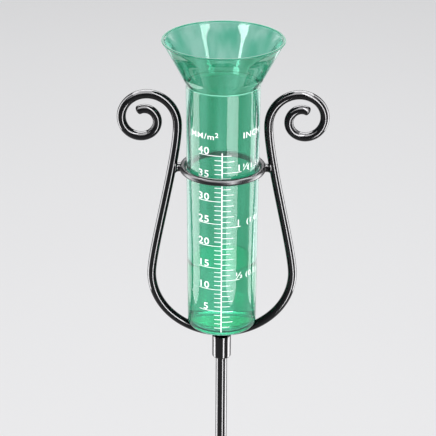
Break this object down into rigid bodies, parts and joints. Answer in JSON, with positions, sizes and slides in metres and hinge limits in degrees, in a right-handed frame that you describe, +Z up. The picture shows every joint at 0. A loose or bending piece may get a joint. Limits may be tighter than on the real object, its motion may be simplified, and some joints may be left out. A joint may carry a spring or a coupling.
{
  "type": "rain gauge",
  "caption": "Manual rain gauge: transparent green measuring tube with octagonal funnel mouth, held in a black lyre-shaped scroll holder on a garden stake.",
  "frame": {"origin": "on the stake's axis at the soil line", "axes": "+Z up along the stake; the lyre lies in the XZ plane and the printed side of the gauge faces -Y"},
  "size_m": [0.1386, 0.08, 0.82],
  "materials": {
    "green_clear_plastic": "clear gloss",
    "black_enamel": "gloss black enamel",
    "white_print": "screen-printed ink",
    "rain_water": "still water"
  },
  "bodies": {
    "stake": {"lower_pole": "black_enamel", "pole_coupler": "black_enamel"},
    "pole": {"upper_pole": "black_enamel"},
    "holder": {"lyre_rod": "black_enamel", "support_ring": "black_enamel", "left_strut": "black_enamel", "right_strut": "black_enamel", "socket_sleeve": "black_enamel"},
    "gauge": {"gauge_tube": "green_clear_plastic"}
  },
  "joints": [
    {"name": "pole_lift", "type": "slide", "parent": "stake", "child": "pole", "axis": [0, 0, 1], "range_m": [0, 0.03]},
    {"name": "holder_turn", "type": "hinge", "parent": "pole", "child": "holder", "pos_m": [0, 0, 0.42], "axis": [0, 0, 1], "continuous": true},
    {"name": "gauge_lift", "type": "slide", "parent": "holder", "child": "gauge", "axis": [0, 0, 1], "range_m": [0, 0.12]}
  ]
}
